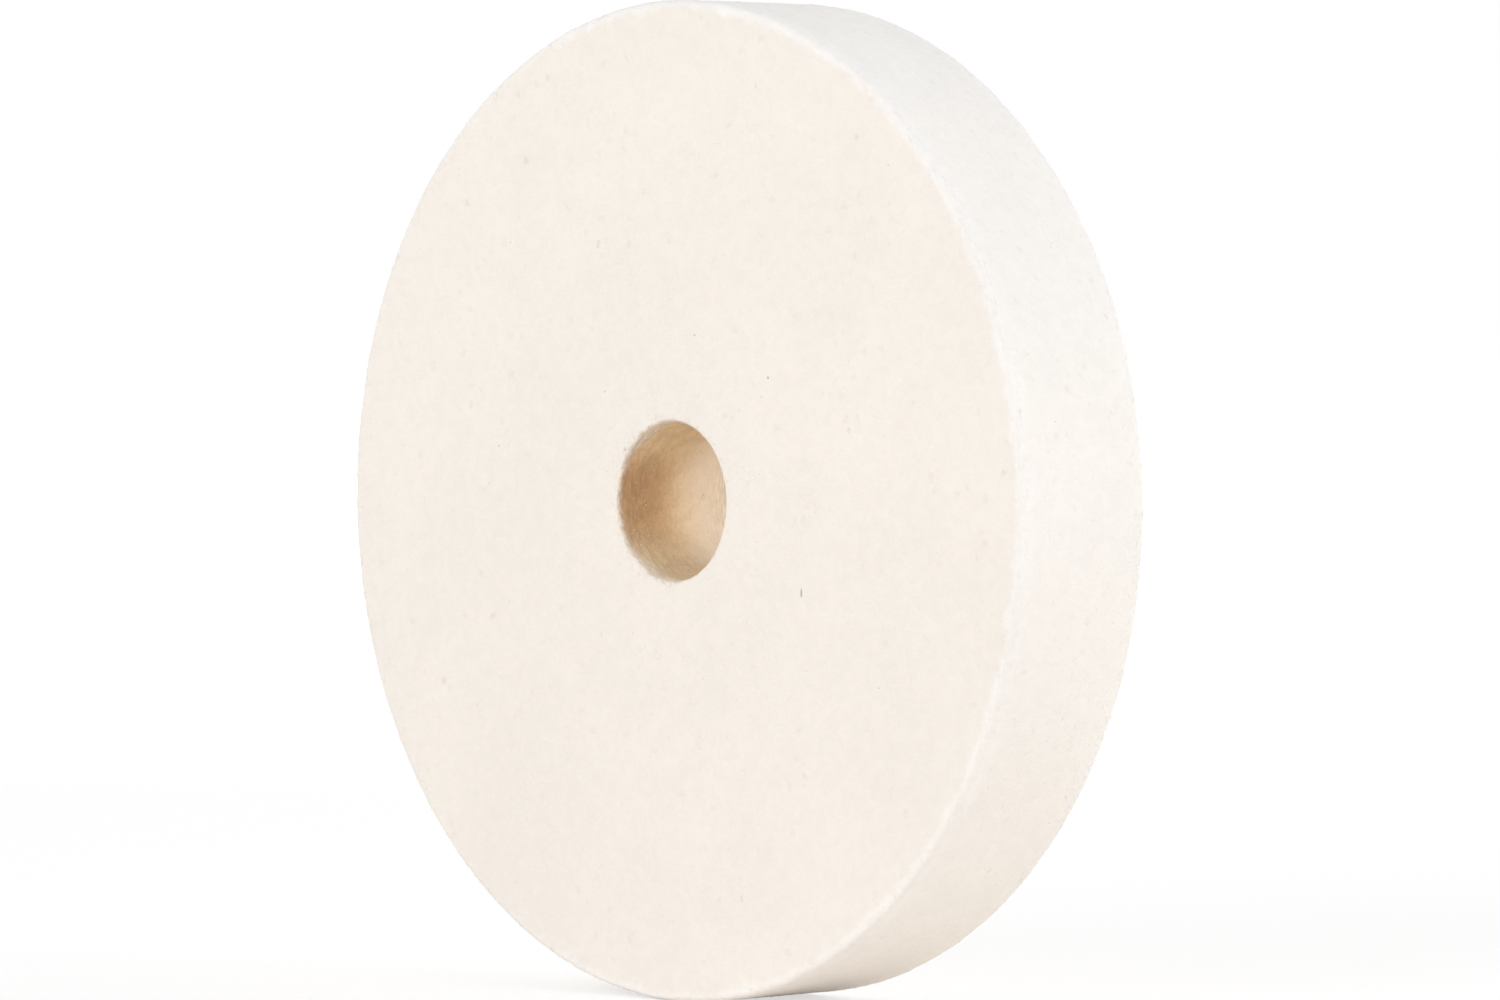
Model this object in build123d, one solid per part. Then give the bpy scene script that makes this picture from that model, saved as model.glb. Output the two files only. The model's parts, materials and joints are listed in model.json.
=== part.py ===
from build123d import *
import os

# Felt polishing wheel: one thick disc of hard-pressed wool felt with a plain round hole for the spindle.
# Millimetres. The origin is the wheel's centre, its axis lies along Y and +Z is up, so the wheel stands
# upright on its rim, with one flat face towards -Y and the other towards +Y.

# Driving dimensions
wheel_diameter = 150.0
wheel_thickness = 25.0
bore_diameter = 24.0        # cut hole; a nominal 25 mm or 1 inch hole after the felt closes in on it
rim_corner_radius = 1.1     # where the polishing rim rolls over into each face
bore_mouth_radius = 0.6     # where each face rolls over into the hole


def make_felt_wheel():
    """The felt ring: its rounded rectangular section, turned once round the wheel's axis."""
    rim_radius = wheel_diameter / 2
    bore_radius = bore_diameter / 2
    section_centre = (rim_radius + bore_radius) / 2
    with BuildPart() as wheel:
        with BuildSketch(Plane.XY) as section:
            with Locations((section_centre, 0)):
                Rectangle(rim_radius - bore_radius, wheel_thickness)
            fillet(section.vertices().group_by(Axis.X)[0], bore_mouth_radius)
            fillet(section.vertices().group_by(Axis.X)[-1], rim_corner_radius)
        revolve(axis=Axis.Y)
    return wheel.part


os.makedirs("parts", exist_ok=True)
felt_wheel = make_felt_wheel()
felt_wheel.label = "felt_wheel"
export_step(felt_wheel, "parts/felt_wheel.step")
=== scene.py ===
import json
import math

import bmesh
import bpy
import numpy as np
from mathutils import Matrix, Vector, noise


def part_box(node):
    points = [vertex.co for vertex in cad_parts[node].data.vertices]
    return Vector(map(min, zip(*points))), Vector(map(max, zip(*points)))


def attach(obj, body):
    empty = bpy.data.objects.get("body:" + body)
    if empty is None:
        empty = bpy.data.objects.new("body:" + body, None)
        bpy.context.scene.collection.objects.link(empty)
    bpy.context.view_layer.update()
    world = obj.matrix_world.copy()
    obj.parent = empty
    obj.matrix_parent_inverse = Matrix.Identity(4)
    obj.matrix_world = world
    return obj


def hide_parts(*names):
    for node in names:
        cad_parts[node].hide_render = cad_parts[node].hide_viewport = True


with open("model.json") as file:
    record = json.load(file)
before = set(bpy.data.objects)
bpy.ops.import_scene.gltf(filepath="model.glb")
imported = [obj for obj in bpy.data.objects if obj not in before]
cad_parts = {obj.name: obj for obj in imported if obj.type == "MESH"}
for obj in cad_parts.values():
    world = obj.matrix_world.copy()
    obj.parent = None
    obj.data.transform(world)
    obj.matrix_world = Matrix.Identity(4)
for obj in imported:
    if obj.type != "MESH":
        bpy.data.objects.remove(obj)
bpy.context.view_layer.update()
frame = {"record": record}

# ---- sizes, in metres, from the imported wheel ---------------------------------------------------

MM = 0.001
wheel_low, wheel_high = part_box("felt_wheel")
bore_mount = next(m for m in frame["record"]["mounts"] if m["name"] == "arbor_bore")
RIM_RADIUS = (wheel_high.x - wheel_low.x) / 2
HALF_THICKNESS = (wheel_high.y - wheel_low.y) / 2
BORE_RADIUS = bore_mount["dims"]["r_mm"] * MM
MOUTH_ROUND = HALF_THICKNESS - bore_mount["dims"]["length_mm"] * MM / 2
RIM_ROUND = 1.1 * MM  # the CAD's rim corners, which the frame doesn't name
BODY = "root"
SEED = 20

# The front face's plainest flecks: share of the rim's radius, turn in degrees, length and width in mm.
DARK_FLECKS = (
    (0.38, 41, 0.50, 0.45),
    (0.42, -24, 1.50, 0.45),
    (0.34, 78, 0.30, 0.26),
    (0.54, 169, 0.32, 0.26),
)
FAINT_FLECKS = (
    (0.56, 113, 1.40, 1.10),
    (0.54, 16, 1.20, 0.70),
    (0.81, -75, 1.60, 0.65),
    (0.86, 73, 0.90, 0.55),
    (0.90, 53, 1.30, 0.90),
)


# ---- the wheel's surface: distance along its section, and turn round its axis ------------------

def make_section():
    """The section's outline, from where the hole's wall meets the front mouth, out over the front face,
    across the rim and back in. Gives the distances along it, the radius, axial place and outward normal
    there, and the distances at which its four corners start and end."""
    mouth_centre = BORE_RADIUS + MOUTH_ROUND
    rim_centre = RIM_RADIUS - RIM_ROUND
    corners = (
        (mouth_centre, MOUTH_ROUND - HALF_THICKNESS, MOUTH_ROUND, 180),
        (rim_centre, RIM_ROUND - HALF_THICKNESS, RIM_ROUND, 270),
        (rim_centre, HALF_THICKNESS - RIM_ROUND, RIM_ROUND, 360),
        (mouth_centre, HALF_THICKNESS - MOUTH_ROUND, MOUTH_ROUND, 450),
    )
    steps = 12
    rows = []
    for radius_at, axial_at, rounding, first_angle in corners:
        for angle in np.radians(np.linspace(first_angle, first_angle + 90, steps + 1)):
            out, axial = math.cos(angle), math.sin(angle)
            rows.append((radius_at + rounding * out, axial_at + rounding * axial, out, axial))
    rows.append(rows[0])
    rows = np.array(rows)
    along = np.concatenate(([0], np.cumsum(np.hypot(*np.diff(rows[:, :2], axis=0).T))))
    ends = []
    for corner in range(len(corners)):
        first = corner * (steps + 1)
        ends += [along[first], along[first + steps]]
    return along, rows.T, ends + [along[-1]]


ALONG, OUTLINE, ENDS = make_section()
(MOUTH_START, FACE_START, RIM_EDGE_START, RIM_START,
 RIM_END, BACK_START, BACK_END, WALL_START, LOOP) = ENDS
FRONT_MOUTH = (MOUTH_START + FACE_START) / 2
FRONT_EDGE = (RIM_EDGE_START + RIM_START) / 2
BACK_EDGE = (RIM_END + BACK_START) / 2
BACK_MOUTH = (BACK_END + WALL_START) / 2


def section_at(along):
    """Radius, axial place and outward normal at these distances along the section."""
    return [np.interp(np.mod(along, LOOP), ALONG, values) for values in OUTLINE]


def felt_point(along, turn, lift=0.0):
    """Points on the wheel's plain surface, raised by lift along its normal."""
    radius, axial, out, forward = section_at(along)
    radius = radius + lift * out
    return np.stack((radius * np.cos(turn), axial + lift * forward, radius * np.sin(turn)), -1)


def clouds(points, size, offset):
    """Smooth noise from -1 to 1 with features about size across, which may differ along X, Y and Z. The
    offset chooses which stretch of the noise is used."""
    places = points.reshape(-1, 3) / np.asarray(size) + offset
    return np.array([noise.noise(p) for p in places.tolist()]).reshape(points.shape[:-1])


def bump_at(along, centre, reach):
    """1 at centre, falling smoothly to 0 at reach to each side."""
    near = np.clip(1 - np.abs(along - centre) / reach, 0, 1)
    return near * near * (3 - 2 * near)


def felt_relief(along, turn):
    """How far the real felt stands above the plain surface: a slight waviness all over, lumpy soft
    corners, and a hole wall torn and marked round by its cutter, most of all near the front."""
    along = np.mod(along, LOOP)
    points = felt_point(along, turn)
    relief = 0.04 * MM * clouds(points, size=15 * MM, offset=3.1)
    relief += 0.02 * MM * clouds(points, size=4.2 * MM, offset=7.7)
    relief += 0.012 * MM * clouds(points, size=1.5 * MM, offset=1.3)

    edge_reach = 2.4 * MM
    edge = bump_at(along, FRONT_EDGE, edge_reach) + bump_at(along, BACK_EDGE, edge_reach)
    lumps = 0.10 * clouds(points, size=3.4 * MM, offset=5.9)
    small_lumps = 0.06 * clouds(points, size=1.3 * MM, offset=9.2)
    relief += MM * edge * (lumps + small_lumps)

    fade = 0.8 * MM
    in_bore = np.clip((along - WALL_START) / fade, 0, 1) * np.clip((LOOP - along) / fade, 0, 1)
    towards_front = np.clip(0.5 - points[..., 1] / (8 * MM), 0.3, 1)
    grooves = 0.03 * clouds(points, size=(3 * MM, 1.1 * MM, 3 * MM), offset=2.4)
    torn = 0.09 * clouds(points, size=(1.9 * MM, 1.5 * MM, 1.9 * MM), offset=6.6)
    relief += MM * in_bore * towards_front * (grooves + torn)

    mouth_reach = 1.3 * MM
    mouth = bump_at(along, FRONT_MOUTH, mouth_reach) + bump_at(along, BACK_MOUTH, mouth_reach)
    relief += MM * mouth * 0.06 * clouds(points, size=1.1 * MM, offset=4.4)
    return relief


# ---- the felt body -----------------------------------------------------------------------------

def add_mesh(name, vertices, faces, material):
    """A smooth-shaded piece of the wheel, from vertices and faces that are turned outwards."""
    mesh = bpy.data.meshes.new(name)
    mesh.from_pydata([tuple(v) for v in vertices], [], faces)
    mesh.validate()
    mesh.shade_smooth()
    mesh.materials.append(material)
    piece = bpy.data.objects.new(name, mesh)
    bpy.context.scene.collection.objects.link(piece)
    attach(piece, BODY)
    return piece


def wheel_rings():
    """(distance along the section, vertices round the wheel) for each ring of the felt body. The rings are
    close where the surface turns or is marked, and hold more vertices where the wheel is wider."""
    inner, middle, outer = 224, 448, 896
    inner_face = 32 * MM
    beside_edge = 1.5 * MM
    beside_rim = 1 * MM
    # Where each stretch of the section starts, how many rings it has, and the vertices round each.
    stretches = (
        (MOUTH_START, 6, inner),
        (FACE_START, 22, inner),
        (FACE_START + inner_face, 22, middle),
        (RIM_EDGE_START - beside_edge, 14, outer),
        (RIM_START + beside_rim, 20, outer),
        (RIM_END - beside_rim, 14, outer),
        (BACK_START + beside_edge, 22, middle),
        (BACK_END - inner_face, 22, inner),
        (BACK_END, 6, inner),
        (WALL_START, 96, inner),
    )
    ends = [start for start, _, _ in stretches[1:]] + [LOOP]
    rings = []
    for (start, steps, around), end in zip(stretches, ends):
        rings += [(along, around) for along in np.linspace(start, end, steps, endpoint=False)]
    return rings


def strip(first, second):
    """Faces between two neighbouring rings with as many vertices, or with twice as many in one of them."""
    if len(first) > len(second):
        return [face[::-1] for face in strip(second, first)]
    count = len(first)
    if count == len(second):
        neighbours = [(i, (i + 1) % count) for i in range(count)]
        return [(first[i], second[i], second[j], first[j]) for i, j in neighbours]
    faces = []
    for i in range(count):
        here, there = first[i], first[(i + 1) % count]
        left, middle, right = second[2 * i], second[2 * i + 1], second[(2 * i + 2) % len(second)]
        faces += [(here, left, middle), (here, middle, there), (middle, right, there)]
    return faces


def make_felt_body(material):
    """The whole felt ring as one closed mesh, with its waviness, soft corners and cutter marks."""
    rings = wheel_rings()
    along = np.concatenate([np.full(around, place) for place, around in rings])
    turn = np.concatenate([np.arange(around) * math.tau / around for _, around in rings])
    vertices = felt_point(along, turn, felt_relief(along, turn))
    starts = np.cumsum([0] + [around for _, around in rings])
    loops = [list(range(starts[i], starts[i + 1])) for i in range(len(rings))]
    faces = []
    for i, loop in enumerate(loops):
        faces += strip(loop, loops[(i + 1) % len(loops)])
    return add_mesh("felt_wheel_body", vertices, faces, material)


# ---- loose wool fibres -------------------------------------------------------------------------

def strand_paths(rng, along, turn, length, heading, curl, rise):
    """Centre lines of fibres that lie on the felt: each starts at (along, turn), runs along its heading,
    curls as it goes and rises off the surface towards its free end."""
    points = 6
    sunk = 0.01 * MM
    unevenness = 0.012 * MM
    share = np.linspace(0, 1, points)
    headings = heading[:, None] + curl[:, None] * share
    step = (length / (points - 1))[:, None]
    run = np.cumsum(np.cos(headings) * step, 1) - np.cos(headings[:, :1]) * step
    sideways = np.cumsum(np.sin(headings) * step, 1) - np.sin(headings[:, :1]) * step
    place = along[:, None] + run
    turns = turn[:, None] + sideways / section_at(along)[0][:, None]
    lift = felt_relief(place, turns) + rise[:, None] * share ** 2 - sunk
    return felt_point(place, turns, lift + rng.normal(0, unevenness, lift.shape))


def tube_mesh(paths, thickness):
    """Closed three-sided fibres along the paths, pointed at both ends."""
    sides = 3
    slanting = (0.31, 0.87, 0.38)  # hardly any fibre runs this way
    count = len(paths)
    ahead = np.gradient(paths, axis=1)
    ahead /= np.linalg.norm(ahead, axis=2, keepdims=True)
    side = np.cross(ahead, slanting)
    side /= np.linalg.norm(side, axis=2, keepdims=True)
    up = np.cross(ahead, side)
    angles = np.arange(sides) * math.tau / sides
    around = side[:, 1:-1, None] * np.cos(angles)[:, None] + up[:, 1:-1, None] * np.sin(angles)[:, None]
    middle = paths[:, 1:-1, None] + around * (thickness / 2)[:, None, None, None]
    vertices = np.concatenate((paths[:, :1], middle.reshape(count, -1, 3), paths[:, -1:]), 1)

    tip = vertices.shape[1] - 1
    last_ring = tip - sides
    neighbours = [(k, (k + 1) % sides) for k in range(sides)]
    pattern = [(0, 1 + b, 1 + a) for a, b in neighbours]
    for ring in range(1, last_ring, sides):
        following = ring + sides
        pattern += [(ring + a, ring + b, following + b, following + a) for a, b in neighbours]
    pattern += [(last_ring + a, last_ring + b, tip) for a, b in neighbours]
    faces = [tuple(i * (tip + 1) + v for v in face) for i in range(count) for face in pattern]
    return vertices.reshape(-1, 3), faces


def make_fibres(name, rng, material, count, along, spread, length, rise, thickness,
                heading=None, turns=(0, math.tau)):
    """A piece of loose wool fibres, scattered round the wheel within spread of a place on the section."""
    start = along + rng.uniform(-spread, spread, count)
    turn = rng.uniform(*turns, count)
    headings = rng.uniform(0, math.tau, count) if heading is None else heading + rng.normal(0, 0.5, count)
    lengths = length * rng.uniform(0.5, 1.4, count)
    curls = rng.normal(0, 1.3, count)
    rises = rise * rng.uniform(-0.1, 1, count) ** 2
    paths = strand_paths(rng, start, turn, lengths, headings, curls, rises)
    vertices, faces = tube_mesh(paths, thickness * rng.uniform(0.7, 1.3, count))
    return add_mesh(name, vertices, faces, material)


def make_wool(rng):
    """All the loose fibres: at the corners, in the hole and on the flat surfaces."""
    edge_wool = make_fibre_material("edge_wool", (0.89, 0.86, 0.82, 1), (0.94, 0.92, 0.89, 1))
    # Tan like the hole's wall: partly the felt's own colour, partly painted shade of the hole
    bore_wool = make_fibre_material("bore_wool", (0.72, 0.55, 0.37, 1), (0.90, 0.78, 0.60, 1))
    nap_wool = make_fibre_material("nap_wool", (0.88, 0.825, 0.76, 1), (0.93, 0.89, 0.84, 1))

    for side, edge in (("front", FRONT_EDGE), ("back", BACK_EDGE)):
        make_fibres(
            f"rim_edge_fuzz_{side}", rng, edge_wool, count=2200, along=edge, spread=1.2 * MM,
            length=1.3 * MM, rise=0.14 * MM, thickness=0.03 * MM,
        )
    for side, mouth in (("front", FRONT_MOUTH), ("back", BACK_MOUTH)):
        make_fibres(
            f"bore_mouth_fuzz_{side}", rng, bore_wool, count=500, along=mouth, spread=0.7 * MM,
            length=0.9 * MM, rise=0.25 * MM, thickness=0.03 * MM,
        )
    make_fibres(
        "bore_wall_fuzz", rng, bore_wool, count=700, along=(WALL_START + LOOP) / 2, spread=11 * MM,
        length=1.2 * MM, rise=0.3 * MM, thickness=0.035 * MM, heading=math.pi / 2,
    )
    make_fibres(
        "bore_hairs", rng, edge_wool, count=24, along=LOOP - 2.5 * MM, spread=3.5 * MM,
        length=0.6 * MM, rise=0.5 * MM, thickness=0.1 * MM, turns=(math.radians(110), math.radians(220)),
    )
    for name, start, end in (
        ("face_nap_front", FACE_START, RIM_EDGE_START),
        ("face_nap_back", BACK_START, BACK_END),
        ("rim_nap", RIM_START, RIM_END),
    ):
        make_fibres(
            name, rng, nap_wool, count=4000, along=(start + end) / 2, spread=(end - start) / 2,
            length=1.6 * MM, rise=0.08 * MM, thickness=0.03 * MM,
        )


# ---- plant flecks ------------------------------------------------------------------------------

def fleck_shape():
    """Vertices and faces of a small rounded chip, one unit across."""
    mesh = bpy.data.meshes.new("fleck_shape")
    form = bmesh.new()
    bmesh.ops.create_icosphere(form, subdivisions=2, radius=0.5)
    form.to_mesh(mesh)
    form.free()
    vertices = np.array([v.co for v in mesh.vertices])
    faces = [tuple(p.vertices) for p in mesh.polygons]
    bpy.data.meshes.remove(mesh)
    return vertices, faces


def make_flecks(name, rng, along, turn, heading, length, width, material):
    """Bits of plant caught in the felt: chips and slivers lying flat, with just their tops out of its
    surface. Headings are measured from outwards along the section towards round the wheel."""
    shape, shape_faces = fleck_shape()
    sunk = 0.02 * MM
    thickness = 0.1 * MM
    small_step = 0.1 * MM
    relief = felt_relief(along, turn) - sunk
    vertices, faces = [], []
    for i in range(len(along)):
        middle = felt_point(along[i], turn[i], relief[i])
        across = felt_point(along[i] + small_step, turn[i]) - felt_point(along[i], turn[i])
        across /= np.linalg.norm(across)
        round_way = np.array((-math.sin(turn[i]), 0, math.cos(turn[i])))
        normal = np.cross(across, round_way)
        lengthways = across * math.cos(heading[i]) + round_way * math.sin(heading[i])
        widthways = np.cross(normal, lengthways)
        rough = shape * (1 + rng.normal(0, 0.07, (len(shape), 1)))
        chip = rough[:, :1] * length[i] * lengthways + rough[:, 1:2] * width[i] * widthways
        vertices.append(middle + (chip + rough[:, 2:] * thickness * normal))
        faces += [tuple(i * len(shape) + v for v in face) for face in shape_faces]
    return add_mesh(name, np.concatenate(vertices), faces, material)


def make_plant_flecks(name, rng, plain, count, material):
    """The front face's plainest flecks in their places, upright, and smaller ones scattered everywhere."""
    share, degrees, long, wide = np.array(plain).T
    plain_along = FACE_START + share * RIM_RADIUS - BORE_RADIUS - MOUTH_ROUND
    plain_turn = np.radians(degrees)
    scattered = rng.uniform(FACE_START + 1 * MM, BACK_END - 1 * MM, count)
    along = np.concatenate((plain_along, scattered))
    turn = np.concatenate((plain_turn, rng.uniform(0, math.tau, count)))
    heading = np.concatenate((math.pi / 2 - plain_turn, rng.uniform(0, math.tau, count)))
    length = np.concatenate((long, rng.uniform(0.1, 0.35, count))) * MM
    width = np.concatenate((wide, rng.uniform(0.08, 0.16, count))) * MM
    make_flecks(name, rng, along, turn, heading, length, width, material)


def make_plant_bits(rng):
    """All the flecks: a few dark ones, and more that are nearly as pale as the felt."""
    dark_bits = make_fleck_material("dark_bits", (0.43, 0.37, 0.30, 1), (0.61, 0.54, 0.45, 1))
    faint_bits = make_fleck_material("faint_bits", (0.81, 0.765, 0.705, 1), (0.86, 0.815, 0.755, 1))
    make_plant_flecks("dark_flecks", rng, DARK_FLECKS, 50, dark_bits)
    make_plant_flecks("faint_flecks", rng, FAINT_FLECKS, 120, faint_bits)


# ---- materials ---------------------------------------------------------------------------------

class Shader:
    """A material's node tree, with short calls for the nodes that the wheel needs."""

    def __init__(self, name):
        self.material = bpy.data.materials.new(name)
        self.material.use_nodes = True
        self.nodes = self.material.node_tree.nodes
        self.links = self.material.node_tree.links
        self.surface = self.nodes["Principled BSDF"].inputs
        self.place = self.nodes.new("ShaderNodeTexCoord").outputs["Object"]

    def put(self, socket, value):
        """Sets an input to a plain value, or links it to another node's output."""
        if isinstance(value, bpy.types.NodeSocket):
            self.links.new(value, socket)
        else:
            socket.default_value = value

    def maths(self, operation, *values):
        """The result of a Math node."""
        node = self.nodes.new("ShaderNodeMath")
        node.operation = operation
        for socket, value in zip(node.inputs, values):
            self.put(socket, value)
        return node.outputs[0]

    def product(self, first, *others):
        """All the values multiplied together."""
        for other in others:
            first = self.maths("MULTIPLY", first, other)
        return first

    def swing(self, value, reach):
        """A value of 0 to 1 as a length from -reach/2 to reach/2."""
        return self.maths("MULTIPLY", self.maths("SUBTRACT", value, 0.5), reach)

    def ramp(self, value, low, high, to_low=0.0, to_high=1.0):
        """value mapped smoothly from low..high to to_low..to_high, and held at the ends."""
        node = self.nodes.new("ShaderNodeMapRange")
        node.interpolation_type = "SMOOTHSTEP"
        for name, given in (("Value", value), ("From Min", low), ("From Max", high),
                            ("To Min", to_low), ("To Max", to_high)):
            self.put(node.inputs[name], given)
        return node.outputs[0]

    def grey(self, value):
        """A plain value as a grey colour."""
        node = self.nodes.new("ShaderNodeCombineColor")
        for socket in node.inputs:
            self.put(socket, value)
        return node.outputs[0]

    def mix(self, share, first, second, blend="MIX"):
        """The first colour with the second laid over it, as far as share says."""
        node = self.nodes.new("ShaderNodeMix")
        node.data_type = "RGBA"
        node.blend_type = blend
        self.put(node.inputs[0], share)
        self.put(node.inputs[6], first)
        self.put(node.inputs[7], second)
        return node.outputs[2]

    def tint(self, colour, other, share=1.0):
        """colour multiplied by the other one, as far as share says."""
        return self.mix(share, colour, other, "MULTIPLY")

    def noise(self, size, detail=2.0, roughness=0.5, distortion=0.0, stretch=None, turned=(0, 0, 0)):
        """Noise with features about size across, lengthened by stretch along X, Y and Z and turned."""
        place = self.place
        if stretch:
            node = self.nodes.new("ShaderNodeMapping")
            node.vector_type = "TEXTURE"
            node.inputs["Rotation"].default_value = turned
            node.inputs["Scale"].default_value = stretch
            self.put(node.inputs["Vector"], place)
            place = node.outputs[0]
        node = self.nodes.new("ShaderNodeTexNoise")
        self.put(node.inputs["Vector"], place)
        node.inputs["Scale"].default_value = 1 / size
        node.inputs["Detail"].default_value = detail
        node.inputs["Roughness"].default_value = roughness
        node.inputs["Distortion"].default_value = distortion
        return node.outputs["Fac"]

    def spots(self, size, warp):
        """Distance to the nearest of scattered points about size apart, in sizes, with its rings bent by
        warp, and a colour that differs from point to point."""
        bend = self.nodes.new("ShaderNodeTexNoise")
        self.put(bend.inputs["Vector"], self.place)
        bend.inputs["Scale"].default_value = 1 / (0.8 * MM)
        bend.inputs["Detail"].default_value = 1.0
        bent = self.nodes.new("ShaderNodeVectorMath")
        bent.operation = "MULTIPLY_ADD"
        self.put(bent.inputs[0], bend.outputs["Color"])
        bent.inputs[1].default_value = (warp, warp, warp)
        self.put(bent.inputs[2], self.place)
        node = self.nodes.new("ShaderNodeTexVoronoi")
        self.put(node.inputs["Vector"], bent.outputs[0])
        node.inputs["Scale"].default_value = 1 / size
        return node.outputs["Distance"], node.outputs["Color"]


class FeltShader(Shader):
    """Pressed wool: where a point lies on the wheel, and the colour of the felt there."""

    def __init__(self, name):
        super().__init__(name)
        split = self.nodes.new("ShaderNodeSeparateXYZ")
        self.put(split.inputs[0], self.place)
        self.x, self.y, self.z = split.outputs
        squares = self.maths("ADD", self.product(self.x, self.x), self.product(self.z, self.z))
        self.radius = self.maths("SQRT", squares)
        self.depth = self.maths("ABSOLUTE", self.y)
        self.uneven = self.swing(self.noise(1.6 * MM, 3), 1.6 * MM)
        self.inward = self.maths("ADD", self.maths("SUBTRACT", HALF_THICKNESS, self.depth), self.uneven)
        self.in_bore = self.ramp(self.radius, BORE_RADIUS + 0.5 * MM, BORE_RADIUS + 0.2 * MM)
        self.mottle = self.noise(2.4 * MM, 4, 0.6, distortion=0.8)
        self.grain = self.fibre_grain()

    def fibre_grain(self):
        """Short fibres lying every way, as three stretched noises: 0 to 1."""
        first, second, third = (
            self.noise(0.16 * MM, 1.0, stretch=(9, 1, 1), turned=turned)
            for turned in ((0, 0.5, 0.3), (0.4, 2.4, -0.4), (0.9, 0.2, 1.3))
        )
        return self.maths("MAXIMUM", self.maths("MAXIMUM", first, second), third)

    def outside(self):
        """Cream faces, a paler cut rim, and paler wool in tufts along the corners, on which a painted
        highlight is laid, strongest at the front and weaker at the back and the far left."""
        face_wool = (0.881, 0.848, 0.804, 1)
        rim_wool = (0.906, 0.890, 0.865, 1)
        # Paler corner wool, which also carries a painted highlight
        edge_wool = (0.921, 0.911, 0.898, 1)
        rough_radius = self.maths("ADD", self.radius, self.uneven)
        tufts = self.swing(self.noise(4.5 * MM, 2), 2.6 * MM)
        tufted_radius = self.maths("ADD", rough_radius, tufts)
        tufted_depth = self.maths("ADD", self.depth, tufts)
        on_rim = self.ramp(rough_radius, RIM_RADIUS - 1.0 * MM, RIM_RADIUS - 0.2 * MM)
        # Painted highlight on the corner tufts: full at the front and right, weaker at the back and far
        # left
        edge_tufts_and_highlight = self.product(
            self.ramp(tufted_depth, HALF_THICKNESS - 3.6 * MM, HALF_THICKNESS - 1.2 * MM),
            self.ramp(tufted_radius, RIM_RADIUS - 2.1 * MM, RIM_RADIUS - 0.5 * MM),
            self.ramp(self.y, 0.0, 5 * MM, 1.0, 0.4),
            self.ramp(self.x, -55 * MM, -15 * MM, 0.1, 1.0),
        )
        return self.mix(edge_tufts_and_highlight, self.mix(on_rim, face_wool, rim_wool), edge_wool)

    def bore_wall(self):
        """Tan wool, partly the cut wall's own colour and partly painted shade for light bouncing round the
        hole.
        Paler deep in the hole, a painted pool of light from behind; paler at its mouths, where the painted
        shade fades; browner and darker at the left near the front, partly its own tone and partly painted
        shade; and painted shade low down."""
        # front and deep: the wall's tan, partly its own colour and partly painted shade; deep is paler,
        # painted light
        front = (0.835, 0.650, 0.420, 1)
        deep = (0.860, 0.733, 0.588, 1)
        mouth_wool = (0.888, 0.825, 0.740, 1)
        browner = (0.722, 0.605, 0.522, 1)
        # Tint for the painted shade low down in the hole
        low_shade_tint = (0.870, 0.895, 0.940, 1)
        height = self.maths("ABSOLUTE", self.z)
        # Painted light at the mouths: the hole's painted shade fades out over a band wider at the top and
        # bottom
        mouth_reach = self.ramp(height, 5 * MM, 11.5 * MM, 1.4 * MM, 4.6 * MM)
        # Browner and darker at the left near the front: partly the wall's own tone, partly painted shade
        browner_shaded_side = self.product(
            self.ramp(self.x, -8.5 * MM, -12.3 * MM),
            self.ramp(self.y, 1 * MM, -7 * MM),
            self.ramp(self.inward, -0.4 * MM, 0.9 * MM),
        )
        # Painted shade on the lower part of the wall
        painted_low_shade = self.product(
            self.ramp(self.z, -4 * MM, -10 * MM),
            self.ramp(self.inward, 1.5 * MM, 4 * MM),
        )
        # Painted light: the wall turns paler towards the back, where light comes in from behind
        colour = self.mix(self.ramp(self.y, -4 * MM, 6 * MM), front, deep)
        colour = self.mix(self.ramp(self.inward, 0.0, mouth_reach), mouth_wool, colour)
        return self.tint(self.tint(colour, browner, browner_shaded_side), low_shade_tint, painted_low_shade)

    def mottled(self, colour):
        """colour with its broad, middle and fine changes of tone."""
        broad = self.noise(26 * MM, 3, distortion=0.6)
        for tone, darker, lighter in (
            (broad, 0.985, 1.010),
            (self.mottle, 0.984, 1.012),
            (self.grain, 0.975, 1.012),
        ):
            colour = self.tint(colour, self.grey(self.ramp(tone, 0.3, 0.7, darker, lighter)))
        return colour

    def spotted(self, colour):
        """colour with faint small and larger spots of plant dust, which lie in loose clusters."""
        clustered = self.ramp(self.noise(22 * MM, 1), 0.4, 0.6, 0.25, 1.0)
        for size, warp, spread, strength, stain in (
            (3.6 * MM, 1.6 * MM, 0.18, 0.13, (0.62, 0.57, 0.50, 1)),
            (6.0 * MM, 1.2 * MM, 0.09, 0.24, (0.55, 0.48, 0.40, 1)),
        ):
            distance, kind = self.spots(size, warp)
            reach = self.ramp(kind, 0.3, 0.75, -0.05, spread)
            spot = self.ramp(self.maths("SUBTRACT", distance, reach), 0.05, -0.05, 0.0, strength)
            colour = self.mix(self.product(spot, clustered), colour, stain)
        return colour

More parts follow.
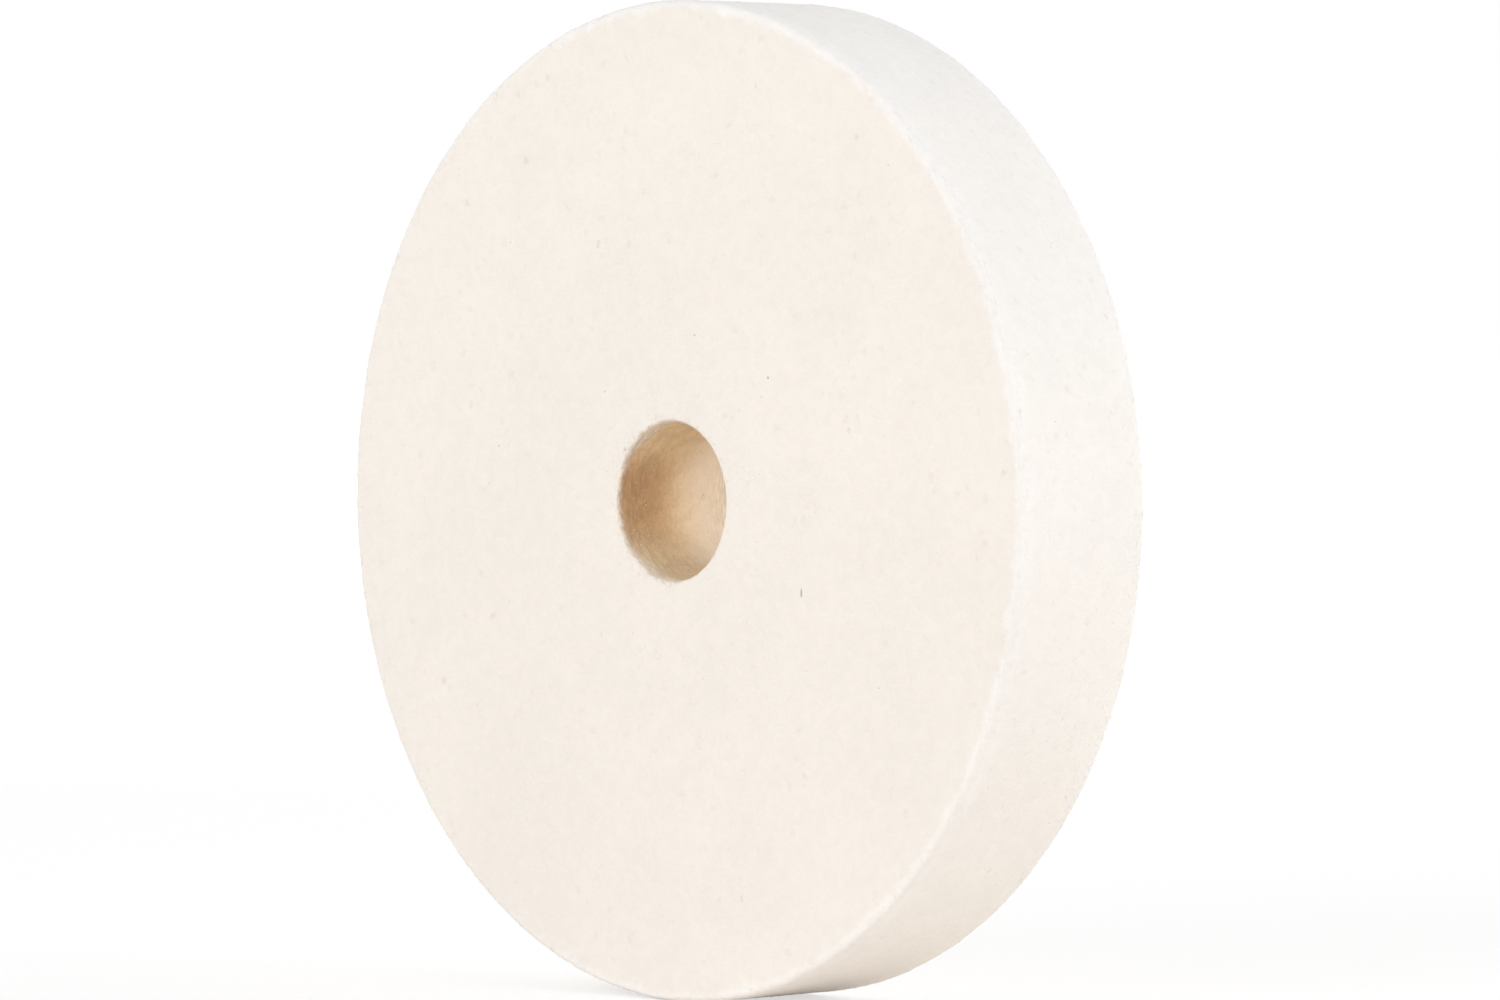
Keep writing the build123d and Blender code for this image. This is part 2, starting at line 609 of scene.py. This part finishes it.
    def cut(self, colour):
        """colour with the streaks, blotches and scores that the cutter left round the hole's wall."""
        streaks = self.noise(0.5 * MM, 4, 0.7, distortion=1.2, stretch=(1.8, 1, 1.8))
        blotches = self.noise(2.2 * MM, 3, 0.6)
        marks = self.product(
            self.ramp(streaks, 0.33, 0.67, 0.90, 1.05),
            self.ramp(blotches, 0.3, 0.7, 0.93, 1.04),
        )
        marked = self.product(self.in_bore, self.ramp(self.y, 4 * MM, -3 * MM, 0.3, 1.0))
        lines = self.noise(0.45 * MM, 3, 0.6, distortion=0.9, stretch=(4, 1, 4))
        scores = self.ramp(lines, 0.35, 0.65, 0.86, 1.09)
        scored = self.product(
            self.in_bore,
            self.ramp(self.inward, 8 * MM, 3 * MM),
            self.ramp(self.x, 0.0, -9 * MM, 0.15, 1.0),
        )
        return self.tint(self.tint(colour, self.grey(marks), marked), self.grey(scores), scored)

    def nap(self):
        """The fine unevenness of the felt's surface, as a normal."""
        fine = self.noise(0.55 * MM, 4, 0.65)
        bump = self.nodes.new("ShaderNodeBump")
        bump.inputs["Distance"].default_value = 0.09 * MM
        bump.inputs["Strength"].default_value = 0.6
        self.put(bump.inputs["Height"], self.maths("ADD", self.product(self.grain, 0.6), fine))
        return bump.outputs[0]


def make_felt_material():
    """Matt cream pressed wool, with a painted highlight along its corners and a tan hole wall that carries
    painted shade and light.
    """
    felt = FeltShader("pressed_felt")
    colour = felt.mix(felt.in_bore, felt.outside(), felt.bore_wall())
    colour = felt.cut(felt.spotted(felt.mottled(colour)))
    felt.put(felt.surface["Base Color"], colour)
    felt.put(felt.surface["Roughness"], felt.ramp(felt.mottle, 0.2, 0.8, 0.86, 1.0))
    felt.put(felt.surface["Normal"], felt.nap())
    felt.surface["Specular IOR Level"].default_value = 0.2
    felt.surface["Sheen Weight"].default_value = 0.05
    felt.surface["Sheen Roughness"].default_value = 0.5
    felt.surface["Sheen Tint"].default_value = (1.0, 0.98, 0.95, 1)
    return felt.material


def make_fibre_material(name, colour, pale):
    """Single wool fibres, with a slow change of tone from one to the next."""
    shader = Shader(name)
    tone = shader.ramp(shader.noise(0.8 * MM, 2), 0.35, 0.65)
    shader.put(shader.surface["Base Color"], shader.mix(tone, colour, pale))
    shader.surface["Roughness"].default_value = 0.7
    shader.surface["Specular IOR Level"].default_value = 0.3
    shader.surface["Sheen Weight"].default_value = 0.05
    return shader.material


def make_fleck_material(name, dark, pale):
    """Dry plant bits, veined, with a slow change of tone from one to the next."""
    shader = Shader(name)
    tone = shader.ramp(shader.noise(7 * MM, 1), 0.35, 0.65)
    vein = shader.ramp(shader.noise(0.12 * MM, 2), 0.35, 0.65, 0.85, 1.1)
    colour = shader.tint(shader.mix(tone, dark, pale), shader.grey(vein))
    shader.put(shader.surface["Base Color"], colour)
    shader.surface["Roughness"].default_value = 0.8
    return shader.material


# ---- stage, light and camera -------------------------------------------------------------------

def make_floor_material():
    """White paper. To the wheel it is warm plain paper that gives off a faint light right under the
    wheel's foot. The camera sees it bright near the wheel and fading to pure white far away."""
    foot_near, foot_far, foot_light = 76 * MM, 92 * MM, 0.06
    white_from, white_at, near_glow = 0.4, 2.2, 0.605
    shader = Shader("white_floor")
    length = shader.nodes.new("ShaderNodeVectorMath")
    length.operation = "LENGTH"
    shader.put(length.inputs[0], shader.place)
    from_wheel = length.outputs["Value"]

    under_foot = shader.ramp(from_wheel, foot_near, foot_far, foot_light, 0.0)
    shader.surface["Base Color"].default_value = (0.975, 0.905, 0.835, 1)
    shader.surface["Roughness"].default_value = 1.0
    shader.surface["Specular IOR Level"].default_value = 0.0
    shader.surface["Emission Color"].default_value = (1.0, 0.95, 0.9, 1)
    shader.put(shader.surface["Emission Strength"], under_foot)

    glow = shader.nodes.new("ShaderNodeEmission")
    shader.put(glow.inputs["Strength"], shader.ramp(from_wheel, white_from, white_at, near_glow, 1.0))
    paper = shader.nodes.new("ShaderNodeBsdfDiffuse")
    paper.inputs["Color"].default_value = (0.45, 0.45, 0.45, 1)
    seen = shader.nodes.new("ShaderNodeAddShader")
    shader.links.new(glow.outputs[0], seen.inputs[0])
    shader.links.new(paper.outputs[0], seen.inputs[1])
    mix = shader.nodes.new("ShaderNodeMixShader")
    shader.put(mix.inputs[0], shader.nodes.new("ShaderNodeLightPath").outputs["Is Camera Ray"])
    shader.links.new(shader.nodes["Principled BSDF"].outputs[0], mix.inputs[1])
    shader.links.new(seen.outputs[0], mix.inputs[2])
    shader.links.new(mix.outputs[0], shader.nodes["Material Output"].inputs["Surface"])
    return shader.material


def make_floor():
    """A plain white floor that the wheel stands on, as far down as its waviness reaches."""
    half_width = 9.0
    height = wheel_low.z - 0.1 * MM
    mesh = bpy.data.meshes.new("floor")
    corners = [(x * half_width, y * half_width, height) for x, y in ((-1, -1), (1, -1), (1, 1), (-1, 1))]
    mesh.from_pydata(corners, [], [(0, 1, 2, 3)])
    mesh.materials.append(make_floor_material())
    floor = bpy.data.objects.new("floor", mesh)
    bpy.context.scene.collection.objects.link(floor)


def direction(azimuth, elevation):
    """Unit vector from the wheel towards a place: azimuth 0 is in front, 90 to the right."""
    a, e = math.radians(azimuth), math.radians(elevation)
    return Vector((math.sin(a) * math.cos(e), -math.cos(a) * math.cos(e), math.sin(e)))


def aim(thing, target):
    """Turns a lamp or camera towards a place."""
    thing.rotation_euler = (Vector(target) - thing.location).to_track_quat("-Z", "Y").to_euler()


def add_softbox(name, azimuth, elevation, distance, width, height, watts):
    """A rectangular soft light that faces the wheel and that the camera doesn't see."""
    light = bpy.data.lights.new(name, "AREA")
    light.shape = "RECTANGLE"
    light.size, light.size_y = width, height
    light.energy = watts
    lamp = bpy.data.objects.new(name, light)
    lamp.location = direction(azimuth, elevation) * distance
    lamp.visible_camera = False
    bpy.context.scene.collection.objects.link(lamp)
    aim(lamp, (0, 0, 0))


def make_lights():
    """A soft key from the front, a strip behind the rim, and weak fills."""
    add_softbox("key", 2, 21, distance=2.2, width=1.6, height=1.2, watts=15.4)
    add_softbox("near_camera", 45, 4, distance=1.8, width=1.0, height=0.5, watts=1.8)
    add_softbox("side_strip", 125, 6, distance=1.5, width=0.5, height=1.0, watts=7.6)
    add_softbox("upper_right", 90, 35, distance=1.5, width=1.0, height=1.0, watts=0.4)
    add_softbox("back", 172, 18, distance=1.5, width=1.0, height=1.0, watts=3.5)
    add_softbox("left_fill", -138, 12, distance=1.5, width=1.0, height=0.8, watts=1.5)


def make_world(strength):
    """Soft light from all round, which the camera sees as plain white."""
    world = bpy.data.worlds.new("studio")
    bpy.context.scene.world = world
    world.use_nodes = True
    nodes, links = world.node_tree.nodes, world.node_tree.links
    seen = nodes.new("ShaderNodeLightPath").outputs["Is Camera Ray"]
    level = nodes.new("ShaderNodeMapRange")
    links.new(seen, level.inputs["Value"])
    level.inputs["To Min"].default_value = strength
    level.inputs["To Max"].default_value = 1.0
    links.new(level.outputs[0], nodes["Background"].inputs["Strength"])
    nodes["Background"].inputs["Color"].default_value = (1, 1, 1, 1)


def make_camera():
    """A long lens from the front right, just above the wheel's middle."""
    azimuth, elevation = 47.8, 1.55
    distance, lens = 1.078, 171.4
    right_of_centre = 2.6 * MM
    camera = bpy.data.objects.new("camera", bpy.data.cameras.new("camera"))
    bpy.context.scene.collection.objects.link(camera)
    camera.location = direction(azimuth, elevation) * distance
    aim(camera, direction(azimuth + 90, 0) * right_of_centre)
    camera.data.lens = lens
    camera.data.clip_start, camera.data.clip_end = 0.01, 50
    bpy.context.scene.camera = camera


# ---- the scene ---------------------------------------------------------------------------------

rng = np.random.default_rng(SEED)
body = make_felt_body(make_felt_material())
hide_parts("felt_wheel")
make_wool(rng)
make_plant_bits(rng)

make_floor()
make_world(strength=0.656)
make_lights()
make_camera()
bpy.context.scene.view_settings.view_transform = "Standard"
